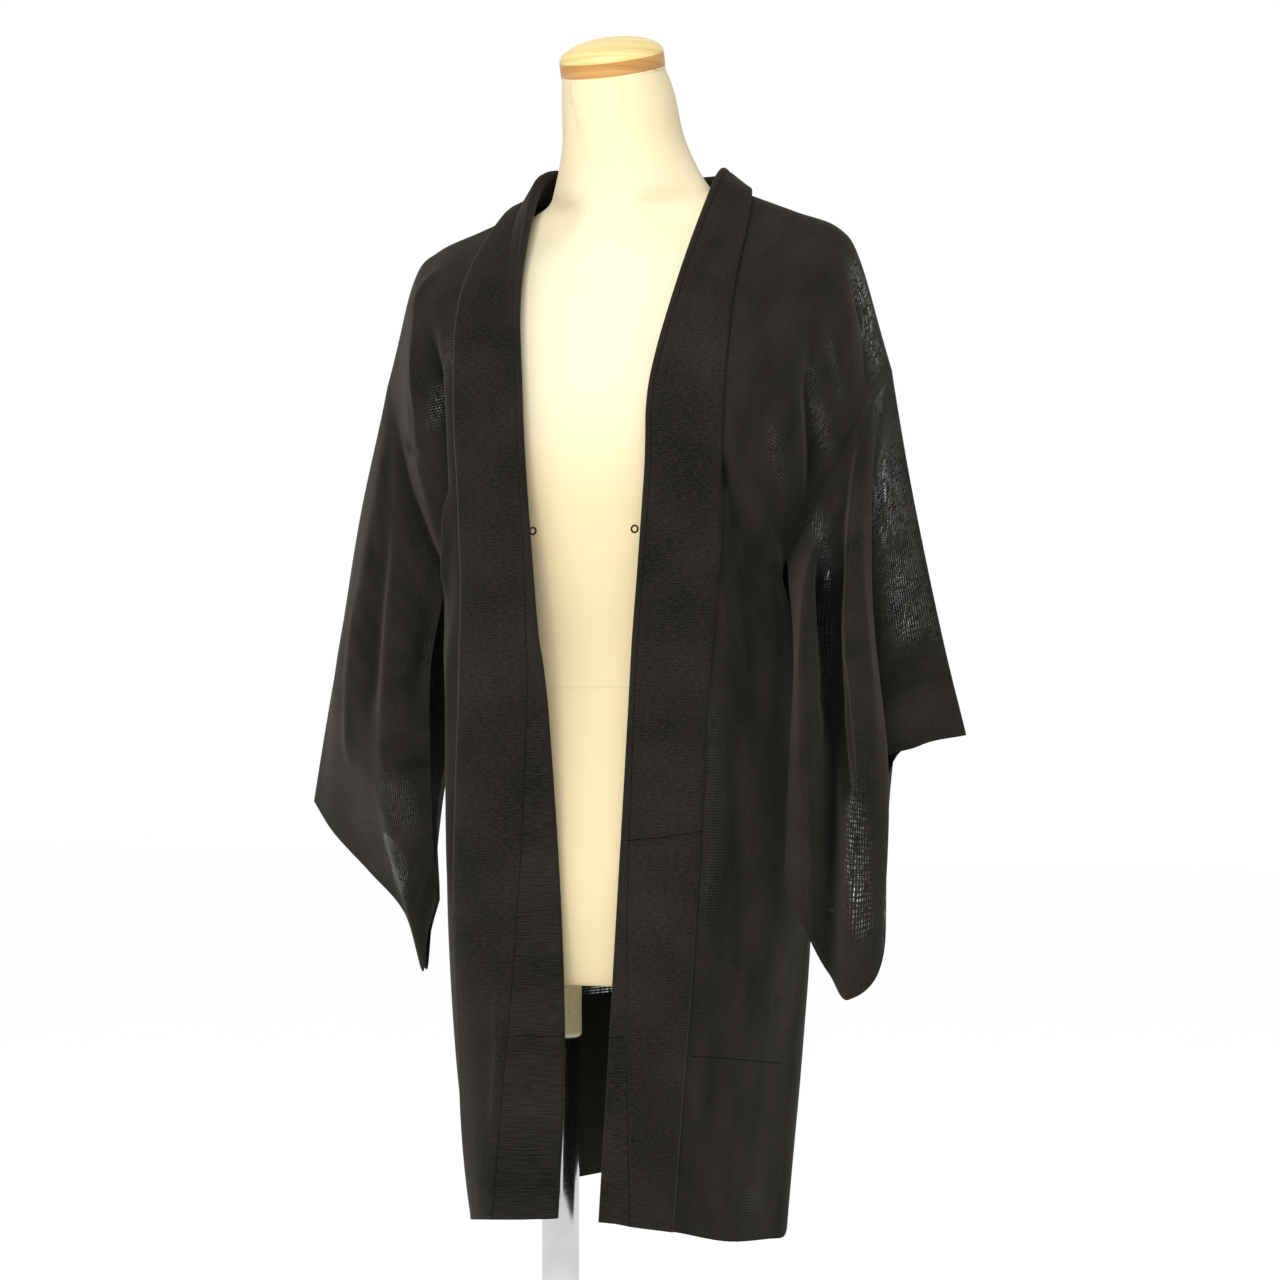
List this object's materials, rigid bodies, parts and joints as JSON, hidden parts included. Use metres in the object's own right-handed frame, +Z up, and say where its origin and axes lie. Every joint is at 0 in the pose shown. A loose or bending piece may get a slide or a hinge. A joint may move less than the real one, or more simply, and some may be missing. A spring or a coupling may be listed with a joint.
{
  "type": "haori jacket on dress form",
  "caption": "Women's sheer dark summer haori with bag sleeves, worn open over a limbless cream dress form with a wooden neck cap, chrome pole and round base.",
  "frame": {"origin": "centre of the stand's underside, on the floor", "axes": "+X towards the wearer's left, +Y towards the back, +Z up; the front faces -Y"},
  "size_m": [0.6114, 0.36, 1.4176],
  "materials": {
    "cloth": "sheer dark weave with open bands, soft dull sheen",
    "jersey": "smooth cream knit stretched over the form",
    "wood": "satin varnish",
    "socket": "plain moulded",
    "steel": "bright plated"
  },
  "bodies": {
    "root": {"body_left": "cloth", "body_right": "cloth", "gore_left": "cloth", "gore_right": "cloth", "sleeve_left": "cloth", "sleeve_right": "cloth", "collar": "cloth", "loop_left": "cloth", "loop_right": "cloth", "form_torso": "jersey", "form_cap": "wood", "form_socket": "socket", "form_pole": "steel", "form_boss": "steel", "form_plate": "steel"}
  },
  "joints": []
}
